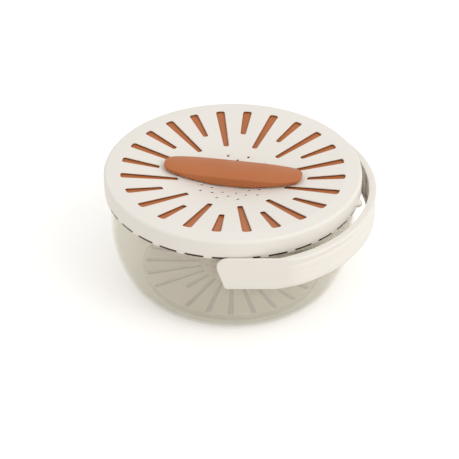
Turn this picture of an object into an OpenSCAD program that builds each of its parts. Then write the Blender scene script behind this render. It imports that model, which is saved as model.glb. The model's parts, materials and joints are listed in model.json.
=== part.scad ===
// Round storage container with a lift-out colander, a vented lid and a swinging carry handle.
// Origin: middle of the container's base on the table, +Z up, carry handle lying towards +X.

/* [Container] */
// Outer radius of the bowl's upright wall
bowl_r = 115.2; // [108:0.2:122]
// Thickness of the bowl's wall and floor
bowl_wall = 2; // [1.6:0.1:2.4]
// Height of the bowl's rim above the table
rim_z = 104; // [98:1:112]
// Height at which the bowl's wall starts to curve in
curve_z = 55; // [50:1:60]
// Radius of the long curve of the wall
side_r = 90; // [84:1:96]
// Radius of the corner between the wall and the flat base
corner_r = 18; // [15:0.5:21]
// Height of the plain neck above the bead that carries the seal
neck_h = 8.9; // [8:0.1:11]
// How far the bead stands out from the wall
bead_out = 4.2; // [3:0.1:4.4]
// Height of the bead
bead_h = 2; // [1.5:0.1:3]

/* [Colander] */
// Gap between the colander and the bowl all round
nest_gap = 0.8; // [0.5:0.1:1.2]
// Thickness of the colander's wall
colander_wall = 1.8; // [1.4:0.1:2]
// Height of the underside of the colander's floor
floor_z = 4.5; // [4:0.1:5.5]
// Thickness of the colander's floor
floor_t = 2; // [1.5:0.1:2.6]
// Number of drain slots
drain_count = 24; // [20:2:28]
// Radius at which the drain slots start
drain_in = 31; // [29:0.5:34]
// Radius at which the drain slots end
drain_out = 84; // [78:0.5:86]
// Width of a drain slot at its inner end
drain_w_in = 3.2; // [2.6:0.1:3.8]
// Width of a drain slot at its outer end
drain_w_out = 5.8; // [5:0.1:7]
// Corner radius of a drain slot
drain_corner = 1.2; // [0.8:0.1:1.3]
// Number of pegs under the colander, each beyond a shorter drain slot
peg_count = 3; // [3:1:4]
// Radius at which those shorter drain slots end
drain_short = 60; // [54:0.5:66]
// Distance of the pegs from the middle
peg_at = 80; // [74:0.5:82]
// Radius of a peg
peg_r = 2.5; // [2:0.1:3]
// Gap between a peg and the bowl's floor
peg_gap = 0.4; // [0.3:0.05:0.6]
// Diameter of the small drain holes in the middle
drain_hole_d = 2.6; // [2:0.1:3.2]
// Radius of the inner ring of drain holes
drain_ring_a = 19; // [17:0.5:20.5]
// Radius of the outer ring of drain holes
drain_ring_b = 25.5; // [24:0.5:27]
// How far the colander is turned in the bowl, degrees
colander_turn = -1.4; // [-7:0.1:7]
// Gap left under a piece that rests on the bowl's rim or bead
rest_gap = 0.02; // [0.01:0.01:0.1]
// Thickness of the rim that hangs on the bowl
rim_t = 1.8; // [1.4:0.1:2.2]
// Depth of the lip that hooks over the bowl's neck
hook_h = 3; // [2:0.1:4]
// Thickness of that lip
hook_t = 1.2; // [1:0.1:1.4]
// Gap between that lip and the neck
hook_gap = 0.5; // [0.3:0.1:0.6]

/* [Lid] */
// Gap from the bowl's neck to the inside of the lid's skirt
skirt_gap = 2.5; // [2.3:0.1:2.8]
// Thickness of the lid's skirt
skirt_t = 2.2; // [1.8:0.1:2.6]
// Height of the skirt
skirt_h = 16.8; // [16:0.1:20]
// Thickness of the lid's top
plate_t = 2; // [1.6:0.1:2.2]
// Radius of the rounded edge between top and skirt
edge_r = 3; // [2.6:0.1:3.6]
// Width of the flat ring round the dished middle
ring_w = 15; // [14:0.2:17]
// Depth of the dished middle
dish_depth = 13.3; // [12:0.1:14]
// Radius of the flat pad at the bottom of the dish
pad_r = 18; // [17:0.5:20]
// How far the lid is turned on the container, degrees
lid_turn = -8.2; // [-20:0.1:20]
// Number of small feet along the skirt's lower edge
foot_count = 30; // [24:2:32]
// Width of one of those feet
foot_w = 7.5; // [6:0.5:9]
// Angle of the first foot from the lid's own axis, degrees
foot_phase = 3.5; // [-6:0.1:6]
// Width of the one wide foot
wide_foot_w = 22; // [18:0.5:26]
// Angle of the wide foot from the lid's own axis, degrees
wide_foot_angle = -78.8; // [-90:0.1:-70]
// Visible height of the seal between skirt and bead
seal_show = 2.1; // [1.9:0.1:2.8]
// Height of the seal inside the skirt
seal_in = 3; // [2:0.1:4]
// How far the seal's edge lies inside the skirt's outer face
seal_inset = 0.6; // [0.4:0.1:1]
// Gap between the seal and a foot or the lift tab
seal_notch_gap = 0.15; // [0.1:0.01:0.3]
// Angle of the lift tab from the lid's own axis, degrees
tab_angle = -8.8; // [-12:0.1:12]
// How far the lift tab stands out
tab_out = 3.6; // [2.5:0.1:4]
// Radius of the lift tab's round end
tab_r = 5; // [4:0.1:6]

/* [Vents] */
// Number of vent slots, long and short ones in turn
vent_count = 24; // [20:2:24]
// Distance from the end of the slots to the edge of the dish
vent_edge = 0.4; // [0.2:0.1:3]
// Radius at which the short slots start
short_in = 69.4; // [66:0.2:76]
// Radius at which the long slots start
long_in = 51.4; // [48:0.2:56]
// Width of a slot at its outer end
vent_w_out = 8.4; // [7:0.1:9]
// Width of a slot at its inner end
vent_w_in = 5; // [4:0.1:5.6]
// Corner radius of a slot's outer end
vent_corner = 2.4; // [1:0.1:3]
// Corner radius of a slot's inner end
vent_corner_in = 1.6; // [1:0.1:1.9]
// Diameter of the small holes round the hub
sieve_d = 2.6; // [2:0.1:3]
// Radius of the inner ring of small holes
sieve_a = 24.4; // [23:0.1:26]
// Radius of the middle ring of small holes
sieve_b = 31; // [30:0.1:32]
// Radius of the outer ring of small holes
sieve_c = 37.5; // [36:0.1:39]

/* [Vent plate] */
// Thickness of the turning vent plate
shutter_t = 1.8; // [1.4:0.1:2]
// Gap between the vent plate and the lid
shutter_gap = 0.3; // [0.2:0.05:0.5]
// Margin of the vent plate past the slots
shutter_margin = 4.5; // [3.5:0.1:5]
// Depth of the stiffening rim round the vent plate
shutter_rim = 2.4; // [1.5:0.1:3]

/* [Bar handle] */
// Length of the bar handle
bar_len = 130; // [120:1:140]
// Width of the bar at its middle
bar_w = 32; // [28:0.5:34]
// Length over which the bar's ends round off
bar_end = 4; // [3:0.1:6]
// How far the bar is turned against the lid's own axis, degrees
bar_turn = -2.7; // [-4:0.1:4]
// Gap between the bar's underside and the dish
bar_gap = 1.3; // [1:0.1:2]
// Height of the bar's top above the lid's top
bar_rise = 0.4; // [-1:0.1:2]
// Radius of the disc under the bar
hub_r = 14; // [13:0.1:15.5]
// Height of that disc
hub_h = 3.6; // [3:0.1:5]
// Radius of the spindle
spindle_r = 6; // [5:0.1:7]
// Radial running clearance of a pin or spindle in its bore
run_gap = 0.08; // [0.05:0.01:0.1]
// Height of the bearing collar on the lid
collar_h = 4; // [3:0.1:5]
// Wall of the bearing collar
collar_t = 3.4; // [2.4:0.1:4]
// Width of the square drive under the spindle
drive_w = 8; // [7:0.1:9]
// Length of the square drive
drive_h = 5.4; // [4.5:0.1:7]
// Diameter of the retaining screw's shank
screw_d = 3.5; // [3:0.1:4]
// Length of the shank in the spindle
screw_len = 13; // [10:0.5:16]
// Diameter of the screw's head
screw_head_d = 7.4; // [6.5:0.1:8]
// Diameter of the washer under the head
washer_d = 16; // [14:0.5:18]
// Thickness of the washer
washer_t = 1; // [0.8:0.1:1.5]

/* [Carry handle] */
// Height of the carry handle's band
strap_h = 32.2; // [29:0.1:34]
// Height of the band's top edge above the skirt's lower edge
strap_rise = 0.4; // [0.2:0.1:2]
// Distance of the pivot below the band's top edge
pivot_drop = 17.4; // [16.8:0.1:18]
// Depth of the grip from inside to outside
grip_t = 7.2; // [6.8:0.1:10]
// Radius of the grip's rounded lower edge
grip_round = 6; // [4:0.1:6.5]
// Thickness of the band's walls
strap_wall = 2.4; // [2:0.1:2.8]
// Gap between the lid and the flat arms of the handle
arm_gap = 0.7; // [0.5:0.1:1]
// Room between the lid's corner and the handle as it swings
swing_gap = 2.4; // [2:0.1:4]
// Length of the arm past the pivot at the band's top edge
arm_tail = 17.8; // [16:0.1:20]
// Slant of the arm's end, from top edge to bottom edge
arm_slant = 10.6; // [8:0.1:12]
// Radius of the arm's upper end corner
arm_round = 9; // [7:0.5:10]
// Radius of the arm's lower end corner
arm_corner = 3; // [2:0.5:5]
// Radius of the pivot pin on the bowl
pivot_r = 5; // [4.5:0.1:6]
// Radius of the pivot pad inside the arm
pivot_pad_r = 9.7; // [9:0.1:10]
// Depth of the pin in the pad
pivot_depth = 5; // [4.4:0.1:5.2]
// Number of ribs inside the grip
rib_count = 11; // [9:2:13]
// Thickness of those ribs
rib_t = 1.6; // [1.2:0.1:2]

/* [Hidden] */
$fn = 120;
eps = 0.01;
reach = 400;

// Heights of the lid, from the bead up
bead_z = rim_z - neck_h;
skirt_z = bead_z + seal_show;
lid_z = skirt_z + skirt_h;
pad_z = lid_z - dish_depth;
shutter_z = pad_z - plate_t - shutter_gap;

// Radii of the lid, from the bowl outwards and back in
skirt_in_r = bowl_r + skirt_gap;
lid_r = skirt_in_r + skirt_t;
dish_r = lid_r - ring_w;
vent_out = dish_r - vent_edge;
shutter_r = vent_out + shutter_margin;
dish_slope = dish_depth / (dish_r - pad_r);
vent_pitch = 360 / vent_count;
drain_pitch = 360 / drain_count;
foot_pitch = 360 / foot_count;

// Bowl curve: the corner arc touches the base and the side arc
side_x = bowl_r - side_r;
corner_x = side_x + sqrt(pow(side_r - corner_r, 2) - pow(curve_z - corner_r, 2));
curve_dx = (corner_x - side_x) / (side_r - corner_r);
curve_dz = (corner_r - curve_z) / (side_r - corner_r);

// Bar handle, spindle and what holds them
bar_z = lid_z + bar_rise;
bore_r = spindle_r + run_gap;
hub_z = pad_z + shutter_gap;
collar_r = bore_r + collar_t;
socket_top = pad_z + collar_h + 0.6;
drive_z = shutter_z - drive_h;
boss_r = washer_d / 2 + 1;
boss_z = drive_z - 0.4;
screw_head_h = 2.4;
bar_steps = 30;
bar_sides = 24;

// Carry handle: the pads, with their teeth, turn clear of the bead above them
strap_z = skirt_z + strap_rise;
pivot_z = strap_z - pivot_drop;
arm_y = lid_r + arm_gap;
arm_out_y = arm_y + strap_wall;
grip_in_r = sqrt(pow(lid_r, 2) + pow(lid_z - pivot_z, 2)) + swing_gap;
grip_out_r = grip_in_r + grip_t;
arm_end_x = sqrt(pow(grip_out_r - strap_wall / 2, 2) - pow(arm_y, 2));
pad_in_y = bowl_r + 1;
stop_w = 4;
stop_gap = 0.3;
stop_turn = -55;
stop_reach = pivot_pad_r + 2.8;

// Slot cut along +X, wider outside than inside, with its corners rounded
module slot_shape(r_in, r_out, w_in, w_out, corner_in, corner_out) {
    polygon([[r_in + corner_in, -w_in / 2],
             [r_out - corner_out, -w_out / 2],
             [r_out, corner_out - w_out / 2],
             [r_out, w_out / 2 - corner_out],
             [r_out - corner_out, w_out / 2],
             [r_in + corner_in, w_in / 2],
             [r_in, w_in / 2 - corner_in],
             [r_in, corner_in - w_in / 2]]);
    for (side = [-1, 1]) {
        translate([r_in + corner_in, side * (w_in / 2 - corner_in)])
            circle(r = corner_in, $fn = 24);
        translate([r_out - corner_out, side * (w_out / 2 - corner_out)])
            circle(r = corner_out, $fn = 24);
    }
}

// Ring of small round holes
module hole_ring(count, ring_r, hole_d, turn = 0) {
    for (k = [0 : count - 1])
        rotate(turn + 360 * k / count)
            translate([ring_r, 0])
                circle(d = hole_d, $fn = 20);
}

// Bowl's outline in radius and height, drawn in by a distance
module bowl_section(inset) {
    square_top = rim_z - curve_z;
    translate([0, curve_z])
        square([bowl_r - inset, square_top]);
    difference() {
        intersection() {
            translate([side_x, curve_z])
                circle(r = side_r - inset, $fn = 240);
            translate([0, inset])
                square([bowl_r, curve_z - inset + eps]);
        }
        difference() {
            polygon([[corner_x, corner_r],
                     [corner_x + curve_dx * reach, corner_r + curve_dz * reach],
                     [corner_x + reach, -reach],
                     [corner_x, -reach]]);
            translate([corner_x, corner_r])
                circle(r = corner_r - inset);
        }
    }
}

// Height of the dish's upper face at a radius
function dish_z(r) = pad_z + dish_slope * max(0, r - pad_r);

// Outer bowl with its rim, seal bead, pivot pins and handle stops
module container() {
    color("Wheat", 0.4) {
        rotate_extrude(angle = 360) {
            difference() {
                bowl_section(0);
                difference() {
                    bowl_section(bowl_wall);
                    translate([0, rim_z])
                        square([reach, 1]);
                }
                translate([0, rim_z - 1])
                    square([bowl_r - bowl_wall, 2]);
            }
            translate([bowl_r - bowl_wall / 2, bead_z - bead_h])
                square([bead_out + bowl_wall / 2, bead_h]);
        }
        for (side = [-1, 1])
            pivot_pin(side);
    }
}

module pivot_pin(side) {
    pin_start = bowl_r - bowl_wall + 0.4;
    at_pivot(side, 0) {
        translate([0, 0, pin_start])
            cylinder(r = pivot_r, h = pad_in_y + pivot_depth - 0.4 - pin_start);
        translate([0, 0, pin_start])
            cylinder(r = pivot_r + 3, h = pad_in_y - 0.3 - pin_start);
    }
    // Two stops hold the handle level on one side or the other
    for (turn = [0, 180])
        at_pivot(side, stop_turn + turn)
            translate([pivot_pad_r + 0.4,
                       turn == 0 ? -stop_w / 2 - stop_gap - 3 : stop_w / 2 + stop_gap, pin_start])
                cube([3, 3, arm_y - 0.6 - pin_start]);
}

// Turns a child about the pivot line, with its Z axis pointing out of the bowl
module at_pivot(side, turn) {
    translate([0, 0, pivot_z])
        rotate([0, -turn, 0])
            rotate([side * -90, 0, 0])
                mirror([0, side > 0 ? 1 : 0, 0])
                    children();
}

// Whether a drain slot is one of the shorter ones, with a peg beyond it
function over_peg(k) = (k + 1) % (drain_count / peg_count) == 0;

// Lift-out basket with a slotted floor, hanging on the bowl's rim
module colander() {
    outer_inset = bowl_wall + nest_gap;
    inner_inset = outer_inset + colander_wall;
    hook_in_r = bowl_r + hook_gap;
    color("Linen", 0.6)
        rotate([0, 0, colander_turn]) {
            difference() {
                rotate_extrude(angle = 360)
                    difference() {
                        union() {
                            intersection() {
                                bowl_section(outer_inset);
                                translate([0, floor_z])
                                    square([reach, rim_z]);
                            }
                            translate([bowl_r - inner_inset, rim_z - 1])
                                square([colander_wall, 1 + rest_gap + rim_t]);
                            translate([bowl_r - inner_inset, rim_z + rest_gap])
                                square([hook_in_r + hook_t - bowl_r + inner_inset, rim_t]);
                            translate([hook_in_r, rim_z - hook_h])
                                square([hook_t, hook_h + rest_gap + rim_t]);
                        }
                        intersection() {
                            bowl_section(inner_inset);
                            translate([0, floor_z + floor_t])
                                square([reach, rim_z]);
                        }
                        translate([0, rim_z - 1])
                            square([bowl_r - inner_inset, rim_t + 2]);
                    }
                translate([0, 0, floor_z - 1])
                    linear_extrude(height = floor_t + 2) {
                        for (k = [0 : drain_count - 1])
                            rotate(drain_pitch * k)
                                slot_shape(drain_in, over_peg(k) ? drain_short : drain_out,
                                           drain_w_in, drain_w_out, drain_corner, drain_corner);
                        hole_ring(drain_count / 2, drain_ring_a, drain_hole_d);
                        hole_ring(drain_count / 2, drain_ring_b, drain_hole_d, drain_pitch);
                    }
            }
            for (k = [0 : drain_count - 1])
                if (over_peg(k))
                    rotate([0, 0, drain_pitch * k])
                        translate([peg_at, 0, bowl_wall + peg_gap])
                            cylinder(r = peg_r, h = floor_z + 1 - bowl_wall - peg_gap, $fn = 32);
        }
}

// Long and short vent slots in turn, with the small holes inside them
module vent_pattern() {
    for (k = [0 : vent_count - 1])
        rotate(vent_pitch * k)
            slot_shape(k % 2 == 0 ? short_in : long_in, vent_out,
                       vent_w_in, vent_w_out, vent_corner_in, vent_corner);
    hole_ring(vent_count / 2, sieve_a, sieve_d, vent_pitch);
    hole_ring(vent_count / 2, sieve_b, sieve_d);
    hole_ring(vent_count / 2, sieve_c, sieve_d, vent_pitch);
}

// Cover with a dished, slotted top and a skirt that stands on small feet
module lid_cover() {
    rib_out_r = bowl_r - bowl_wall;
    rib_z = rim_z + rim_t + 0.4;
    color("Linen")
        rotate([0, 0, lid_turn]) {
            difference() {
                union() {
                    rotate([0, 0, vent_pitch / 2])
                        rotate_extrude(angle = 360)
                            lid_section();
                    translate([0, 0, pad_z - eps])
                        cylinder(r = collar_r, h = collar_h + eps);
                    translate([0, 0, rib_z])
                        locating_rib(rib_out_r, lid_z - plate_t - rib_z + eps);
                }
                translate([0, 0, pad_z - plate_t - 1])
                    cylinder(r = bore_r, h = collar_h + plate_t + 2);
                translate([0, 0, pad_z - plate_t - 1])
                    linear_extrude(height = dish_depth + plate_t + 2)
                        vent_pattern();
            }
            for (k = [-foot_count / 2 : foot_count / 2 - 1])
                if (foot_stands(k))
                    rotate([0, 0, foot_phase + foot_pitch * k])
                        skirt_foot(foot_w);
            rotate([0, 0, wide_foot_angle])
                skirt_foot(wide_foot_w);
            rotate([0, 0, tab_angle])
                lift_tab();
        }
}

module lid_section() {
    difference() {
        union() {
            polygon([[0, pad_z],
                     [pad_r, pad_z],
                     [dish_r, lid_z],
                     [lid_r - edge_r, lid_z],
                     [lid_r - edge_r, lid_z - edge_r],
                     [lid_r, lid_z - edge_r],
                     [lid_r, skirt_z],
                     [0, skirt_z]]);
            translate([lid_r - edge_r, lid_z - edge_r])
                circle(r = edge_r, $fn = 48);
        }
        polygon([[-1, skirt_z - 1],
                 [skirt_in_r, skirt_z - 1],
                 [skirt_in_r, lid_z - plate_t - 1],
                 [skirt_in_r - 1, lid_z - plate_t],
                 [dish_r, lid_z - plate_t],
                 [pad_r, pad_z - plate_t],
                 [-1, pad_z - plate_t]]);
    }
}

// Ring that centres the lid over the colander, with gussets out to the skirt
module locating_rib(outer_r, height) {
    difference() {
        cylinder(r = outer_r, h = height);
        translate([0, 0, -1])
            cylinder(r = outer_r - 1.8, h = height + 2);
    }
    for (k = [0 : 11])
        rotate([0, 0, 15 + 30 * k])
            translate([outer_r - 1, -0.8, 0])
                cube([skirt_in_r - outer_r + 1.5, 1.6, height]);
}

// Whether a small foot stands clear of the wide one
function foot_stands(k) = abs(foot_phase + foot_pitch * k - wide_foot_angle) * PI / 180 * lid_r
    > (wide_foot_w + foot_w) / 2 + 1;

module skirt_foot(width) {
    inset = 0.2;
    intersection() {
        translate([skirt_in_r - 1, -width / 2, bead_z + 0.1])
            cube([skirt_t + 2, width, seal_show + 0.6]);
        difference() {
            cylinder(r = lid_r - inset, h = lid_z);
            translate([0, 0, -1])
                cylinder(r = skirt_in_r + inset, h = lid_z + 2);
        }
    }
}

module lift_tab() {
    drop = 1.7;
    difference() {
        translate([lid_r + tab_out - tab_r, 0, skirt_z - drop])
            cylinder(r = tab_r, h = 3.6);
        translate([0, 0, skirt_z - drop - 1])
            cylinder(r = skirt_in_r + skirt_t / 2, h = 6);
    }
}

// Soft ring inside the skirt, with a flange under it that shows between the feet
module lid_seal() {
    seal_gap = 0.05;
    color("Sienna")
        rotate([0, 0, lid_turn])
            difference() {
                rotate_extrude(angle = 360)
                    union() {
                        translate([bowl_r + 0.3, bead_z + rest_gap])
                            square([skirt_gap - 0.3 - seal_gap, seal_show + seal_in]);
                        translate([bowl_r + 0.5, bead_z + rest_gap])
                            square([lid_r - seal_inset - bowl_r - 0.5,
                                    seal_show - seal_gap - rest_gap]);
                    }
                for (k = [-foot_count / 2 : foot_count / 2 - 1])
                    if (foot_stands(k))
                        rotate([0, 0, foot_phase + foot_pitch * k])
                            seal_notch(foot_w);
                rotate([0, 0, wide_foot_angle])
                    seal_notch(wide_foot_w);
                rotate([0, 0, tab_angle])
                    seal_notch(2 * tab_r);
            }
}

module seal_notch(width) {
    translate([skirt_in_r - 0.2, -width / 2 - seal_notch_gap, bead_z - 1])
        cube([skirt_t + 2, width + 2 * seal_notch_gap, seal_show + 1.5]);
}

// Turning plate under the lid: its slots face the lid's bars while the vents are shut
module vent_plate() {
    color("Chocolate")
        rotate([0, 0, lid_turn])
            difference() {
                union() {
                    rotate_extrude(angle = 360)
                        shutter_section();
                    translate([0, 0, boss_z])
                        cylinder(r = boss_r, h = shutter_z - boss_z - eps);
                }
                translate([-drive_w / 2 - 0.05, -drive_w / 2 - 0.05, boss_z - 1])
                    cube([drive_w + 0.1, drive_w + 0.1, shutter_z - boss_z + 3]);
                translate([0, 0, shutter_z - shutter_t - shutter_rim - 1])
                    linear_extrude(height = dish_depth + shutter_t + shutter_rim + 2)
                        rotate(vent_pitch / 2)
                            vent_pattern();
            }
}

module shutter_section() {
    flat_z = lid_z - plate_t - shutter_gap;
    polygon([[0, shutter_z],
             [pad_r, shutter_z],
             [dish_r, flat_z],
             [shutter_r, flat_z],
             [shutter_r, flat_z - shutter_t - shutter_rim],
             [shutter_r - shutter_t, flat_z - shutter_t - shutter_rim],
             [shutter_r - shutter_t, flat_z - shutter_t],
             [dish_r, flat_z - shutter_t],
             [pad_r, shutter_z - shutter_t],
             [0, shutter_z - shutter_t]]);
}

// Bar handle: end rounding, half width, underside and widest line along its length
function bar_cap(s) = let (over = max(0, abs(s) - bar_len / 2 + bar_end))
    sqrt(max(0, 1 - pow(over / bar_end, 2)));
function bar_half_w(s) = bar_w / 2 * pow(1 - pow(abs(2 * s / bar_len), 4), 1 / 3);
function bar_low(s) = dish_z(abs(s)) + bar_gap;
function bar_mid(s) = bar_low(s) + 0.6 * (bar_z - bar_low(s));

// Fuller than a circle's sine or cosine, for a section with flat flanks
function swell(v) = sign(v) * pow(abs(v), 0.62);

module bar_handle() {
    color("Chocolate")
        rotate([0, 0, lid_turn])
            difference() {
                union() {
                    rotate([0, 0, bar_turn])
                        bar_body();
                    translate([0, 0, hub_z])
                        cylinder(r = hub_r, h = hub_h);
                    translate([0, 0, shutter_z + 0.1])
                        cylinder(r = spindle_r, h = bar_z - 6 - shutter_z);
                    translate([-drive_w / 2, -drive_w / 2, drive_z])
                        cube([drive_w, drive_w, drive_h + 1]);
                }
                difference() {
                    translate([0, 0, hub_z - 1])
                        cylinder(r = collar_r + 0.3, h = socket_top - hub_z + 1);
                    translate([0, 0, hub_z - 2])
                        cylinder(r = spindle_r, h = socket_top - hub_z + 4);
                }
                translate([0, 0, drive_z - 1])
                    cylinder(d = screw_d, h = screw_len + 1, $fn = 32);
            }
}

// Point of the bar's skin at a distance from its middle and an angle round its section
function bar_point(s, t) =
    [s, bar_half_w(s) * swell(cos(t)),
     bar_mid(s) + bar_cap(s) * swell(sin(t))
        * (sin(t) > 0 ? bar_z - bar_mid(s) : bar_mid(s) - bar_low(s))];

// Long boat-shaped grip: rings that follow the dish below, joined from end to end
module bar_body() {
    last = bar_steps - 2;
    points = [for (i = [1 : bar_steps - 1], j = [0 : bar_sides - 1])
        bar_point(-bar_len / 2 * cos(180 * i / bar_steps), 360 * j / bar_sides)];
    skin = [for (i = [0 : last - 1], j = [0 : bar_sides - 1])
        let (a = i * bar_sides, b = a + bar_sides, k = (j + 1) % bar_sides)
            each [[a + j, b + k, a + k], [a + j, b + j, b + k]]];
    ends = [for (j = [1 : bar_sides - 2])
        let (b = last * bar_sides)
            each [[0, j, j + 1], [b, b + j + 1, b + j]]];
    polyhedron(points, concat(skin, ends), convexity = 4);
}

// Pan-head screw from below, with its cross recess
module retaining_screw() {
    head_z = boss_z - washer_t - screw_head_h;
    color("Silver")
        rotate([0, 0, lid_turn])
            difference() {
                union() {
                    translate([0, 0, head_z])
                        cylinder(d = screw_head_d, h = screw_head_h, $fn = 48);
                    translate([0, 0, head_z + screw_head_h - eps])
                        cylinder(d = screw_d, h = boss_z - head_z - screw_head_h
                                 + drive_z - boss_z + screw_len - 1, $fn = 32);
                }
                for (a = [0, 90])
                    rotate([0, 0, a])
                        translate([-2, -0.4, head_z - 1])
                            cube([4, 0.8, 2.4]);
            }
}

module screw_washer() {
    color("Silver")
        translate([0, 0, boss_z - washer_t])
            difference() {
                cylinder(d = washer_d, h = washer_t, $fn = 64);
                translate([0, 0, -1])
                    cylinder(d = screw_d + 0.6, h = washer_t + 2, $fn = 32);
            }
}

// Rectangle with round corners in radius and height
module soft_rect(x0, z0, x1, z1, r) {
    translate([x0 + r, z0])
        square([x1 - x0 - 2 * r, z1 - z0]);
    translate([x0, z0 + r])
        square([x1 - x0, z1 - z0 - 2 * r]);
    for (x = [x0 + r, x1 - r], z = [z0 + r, z1 - r])
        translate([x, z])
            circle(r = r, $fn = 32);
}

// Section of the grip: a lip, a finger groove and a rounded face, hollow from inside
module grip_section() {
    low_z = strap_z - strap_h;
    lip_h = 4.6;
    groove_h = 3;
    groove_deep = 2;
    shoulder_r = 3.4;
    difference() {
        union() {
            soft_rect(grip_in_r, strap_z - lip_h, grip_out_r, strap_z, 1.8);
            soft_rect(grip_in_r, low_z + grip_round - shoulder_r, grip_out_r,
                      strap_z - lip_h - groove_h, shoulder_r);
            translate([grip_in_r, low_z + 4])
                square([grip_t - groove_deep, strap_h - 6]);
            intersection() {
                translate([grip_out_r - grip_round, low_z + grip_round])
                    circle(r = grip_round, $fn = 48);
                translate([grip_in_r, low_z - 1])
                    square([grip_t + 1, grip_round + 1]);
            }
        }
        translate([grip_in_r - 1, low_z + strap_wall])
            square([grip_t - groove_deep - strap_wall + 1, strap_h - 2 * strap_wall]);
    }
}

// Carry handle: two flat arms on the pivots, joined by a hollow curved grip
module carry_handle() {
    color("Linen")
        difference() {
            union() {
                intersection() {
                    union() {
                        rotate([0, 0, -80])
                            rotate_extrude(angle = 160)
                                grip_section();
                        grip_ribs();
                    }
                    translate([0, -arm_out_y, 0])
                        cube([reach, 2 * arm_out_y, lid_z]);
                }
                for (side = [-1, 1])
                    handle_arm(side);
            }
            for (side = [-1, 1])
                at_pivot(side, 0)
                    translate([0, 0, pad_in_y - 1])
                        cylinder(r = pivot_r + run_gap, h = pivot_depth + 1);
        }
}

module grip_ribs() {
    spread = 110;
    for (k = [0 : rib_count - 1])
        rotate([0, 0, spread * (k / (rib_count - 1) - 0.5)])
            translate([grip_in_r + 1, -rib_t / 2, strap_z - strap_h + 2])
                cube([grip_t - 3.5, rib_t, strap_h - 3.5]);
}

module handle_arm(side) {
    low_z = strap_z - strap_h;
    low_x = arm_slant - arm_tail;
    lean = atan2(strap_h, arm_slant);
    top_cut = arm_round / tan(lean / 2);
    low_cut = arm_corner * tan(lean / 2);
    rotate([90, 0, 0])
        translate([0, 0, side > 0 ? -arm_out_y : arm_y])
            linear_extrude(height = strap_wall) {
                polygon([[top_cut - arm_tail, strap_z],
                         [top_cut * cos(lean) - arm_tail, strap_z - top_cut * sin(lean)],
                         [low_x - low_cut * cos(lean), low_z + low_cut * sin(lean)],
                         [low_x + low_cut, low_z],
                         [arm_end_x, low_z],
                         [arm_end_x, strap_z]]);
                translate([top_cut - arm_tail, strap_z - arm_round])
                    circle(r = arm_round, $fn = 72);
                translate([low_x + low_cut, low_z + arm_corner])
                    circle(r = arm_corner, $fn = 48);
            }
    at_pivot(side, stop_turn) {
        translate([0, 0, pad_in_y])
            cylinder(r = pivot_pad_r, h = arm_y - pad_in_y + 0.5);
        translate([pivot_pad_r - 1, -stop_w / 2, pad_in_y + 1])
            cube([stop_reach - pivot_pad_r + 1, stop_w, arm_y - pad_in_y - 0.5]);
    }
}

container();
colander();
lid_cover();
lid_seal();
vent_plate();
bar_handle();
retaining_screw();
screw_washer();
carry_handle();
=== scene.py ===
"""Looks of a round storage container with a lift-out colander, a vented lid and a swinging carry handle."""

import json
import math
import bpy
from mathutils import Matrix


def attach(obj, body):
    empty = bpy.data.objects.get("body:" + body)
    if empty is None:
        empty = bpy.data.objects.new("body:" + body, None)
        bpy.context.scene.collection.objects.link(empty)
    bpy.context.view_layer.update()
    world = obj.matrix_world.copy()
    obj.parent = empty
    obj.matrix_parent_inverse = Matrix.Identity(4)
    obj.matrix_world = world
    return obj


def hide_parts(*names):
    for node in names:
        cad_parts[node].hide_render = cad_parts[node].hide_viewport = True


bl_info = {
    "name": "Storage Container With Colander",
    "version": (1, 0, 0),
    "blender": (4, 5, 0),
    "location": "View3D > Sidebar > Container",
    "description": "Bowl, colander, vented lid, grip bar and carry handle with their plastics",
    "category": "Object",
}

from types import SimpleNamespace

import bmesh
import bpy
from bpy.props import FloatProperty, FloatVectorProperty, IntProperty, PointerProperty
from mathutils import Vector
from mathutils.geometry import delaunay_2d_cdt

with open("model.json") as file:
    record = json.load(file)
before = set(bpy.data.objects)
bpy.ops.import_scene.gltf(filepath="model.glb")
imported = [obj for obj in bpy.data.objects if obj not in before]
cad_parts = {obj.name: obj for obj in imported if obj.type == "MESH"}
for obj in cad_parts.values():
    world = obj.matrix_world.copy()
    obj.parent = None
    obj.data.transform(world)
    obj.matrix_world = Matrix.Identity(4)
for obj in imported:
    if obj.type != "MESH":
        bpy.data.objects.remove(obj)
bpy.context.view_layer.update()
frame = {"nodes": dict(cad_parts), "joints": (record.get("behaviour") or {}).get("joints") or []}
PIVOT = next(j for j in frame["joints"] if j["name"] == "handle_swing")["pos_m"]

# Lengths are in millimetres from here on, unless a name or a comment says otherwise.
AROUND = 288                    # points round a full turn
SECTOR_STEP = 1.25              # degrees between the points of a pierced plate
WELD, WIDE_WELD = 0.004, 0.01   # how near two points are merged, within a form and between forms
RUNNING_GAP = 0.08              # between a pin or spindle and its bore
SMALL_HOLE = 2.6                # diameter of the round holes
# The colander: rings of points in its floor out to where the wall's outline begins, its slots and holes.
FLOOR_RINGS = [0.5, 5, 10, 14, 17, 21, 25, 29, 33, 40, 47, 54, 61, 68, 74, 80, 84, 86, 88]
DRAIN_STEP = 15.0               # degrees from one drain slot to the next
DRAIN_SLOT = (3.2, 5.8, 1.2, 1.2)   # a slot's widths at its inner and outer end, and its corners' radii there
FLOOR_HOLES = (19.0, 25.5)      # radii of the two rings of round holes
PEG_RING = 80.0                 # radius at which the pegs under the floor stand
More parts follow.
